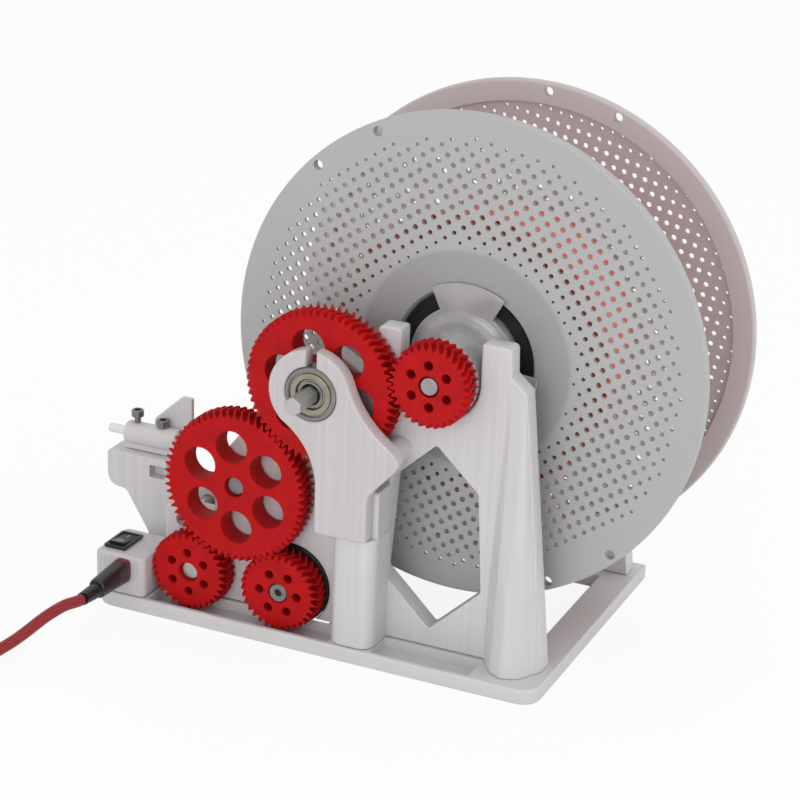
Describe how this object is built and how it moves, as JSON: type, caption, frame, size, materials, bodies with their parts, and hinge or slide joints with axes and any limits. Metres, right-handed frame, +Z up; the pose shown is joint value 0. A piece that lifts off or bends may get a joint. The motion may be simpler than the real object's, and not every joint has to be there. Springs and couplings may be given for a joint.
{
  "type": "filament winder",
  "caption": "Motor-driven filament winder: a spool between printed walls, herringbone gears, a hexagonal crank end and a carriage that guides the filament along the spool.",
  "frame": {"origin": "on the ground under the base, straight below the spool axis, in the middle of the front wall", "axes": "+Z up, +Y along the spool axis from the geared front wall to the rear wall, +X to the right seen from the gears"},
  "size_m": [0.3776, 0.2788, 0.222],
  "materials": {
    "white_print": "satin, fine layer lines",
    "red_print": "satin",
    "grey_mould": "matt",
    "clear_print": "translucent, satin",
    "orange_filament": "satin",
    "steel": "brushed",
    "dark_steel": "blackened",
    "black_plastic": "satin",
    "black_rubber": "matt",
    "red_braid": "woven",
    "brass": "satin"
  },
  "bodies": {
    "frame": {"base_frame": "white_print", "front_wall": "white_print", "rear_wall": "white_print", "bearing_bracket": "white_print", "bracket_screw_lower": "dark_steel", "bracket_screw_upper": "dark_steel", "front_wall_screw_left": "dark_steel", "front_wall_screw_right": "dark_steel", "rear_wall_screw_left": "dark_steel", "rear_wall_screw_right": "dark_steel", "bracket_bearing_outer_ring": "steel", "idler_bearing_outer_ring": "steel", "traverse_front_bearing_outer_ring": "steel", "traverse_rear_bearing_outer_ring": "steel", "lower_idler_axle": "steel", "motor_gearbox": "black_plastic", "motor_can": "steel", "motor_end_cap": "black_plastic", "guide_rod": "steel", "control_box": "white_print", "switch_housing": "black_plastic", "power_socket": "black_plastic", "plug_collar": "red_braid", "plug_body": "black_plastic", "plug_strain_relief": "black_plastic", "power_cord": "red_braid", "cord_coil": "red_braid", "far_plug_body": "black_plastic", "far_plug_shell": "steel"},
    "spool": {"spool_front_half": "grey_mould", "spool_rear_half": "grey_mould", "filament_core": "orange_filament", "filament_winding": "orange_filament", "front_hub": "clear_print", "rear_hub": "clear_print", "front_grip_ring": "black_rubber", "rear_grip_ring": "black_rubber", "spool_shaft": "steel", "spool_shaft_nut": "steel", "spool_gear": "red_print"},
    "upper_idler": {"upper_idler_gear": "red_print", "hex_drive_shaft": "steel", "hex_shaft_collar": "steel", "bracket_bearing_inner_ring": "steel", "idler_bearing_inner_ring": "steel"},
    "lower_idler": {"lower_idler_gear": "red_print"},
    "traverse_drive": {"traverse_gear": "red_print", "traverse_screw": "steel", "traverse_front_bearing_inner_ring": "steel", "traverse_rear_bearing_inner_ring": "steel"},
    "motor_drive": {"motor_gear": "red_print", "motor_shaft": "steel"},
    "carriage": {"traverse_carriage": "white_print", "follower_pawl": "brass", "tube_clamp": "white_print", "guide_tube": "clear_print", "proud_tube_screw": "dark_steel", "seated_tube_screw": "dark_steel"},
    "rocker": {"switch_rocker": "black_plastic"}
  },
  "joints": [
    {"name": "spool_spin", "type": "hinge", "parent": "frame", "child": "spool", "pos_m": [0, 0, 0.122], "axis": [0, 1, 0], "continuous": true},
    {"name": "upper_idler_spin", "type": "hinge", "parent": "frame", "child": "upper_idler", "pos_m": [-0.04638, 0, 0.11273], "axis": [0, 1, 0], "continuous": true},
    {"name": "lower_idler_spin", "type": "hinge", "parent": "frame", "child": "lower_idler", "pos_m": [-0.08353, 0, 0.06272], "axis": [0, 1, 0], "continuous": true},
    {"name": "traverse_spin", "type": "hinge", "parent": "frame", "child": "traverse_drive", "pos_m": [-0.10441, 0, 0.02028], "axis": [0, 1, 0], "continuous": true},
    {"name": "motor_spin", "type": "hinge", "parent": "frame", "child": "motor_drive", "pos_m": [-0.06265, 0, 0.02028], "axis": [0, 1, 0], "continuous": true},
    {"name": "carriage_slide", "type": "slide", "parent": "frame", "child": "carriage", "axis": [0, 1, 0], "range_m": [0, 0.056]},
    {"name": "switch_rock", "type": "hinge", "parent": "frame", "child": "rocker", "pos_m": [-0.138, -0.01, 0.0247], "axis": [1, 0, 0], "range_deg": [0, 14]}
  ],
  "couplings": [
    {"joint": "upper_idler_spin", "follows": "spool_spin", "ratio": -0.51613},
    {"joint": "lower_idler_spin", "follows": "spool_spin", "ratio": 0.51613},
    {"joint": "traverse_spin", "follows": "spool_spin", "ratio": -1},
    {"joint": "motor_spin", "follows": "spool_spin", "ratio": -1}
  ]
}
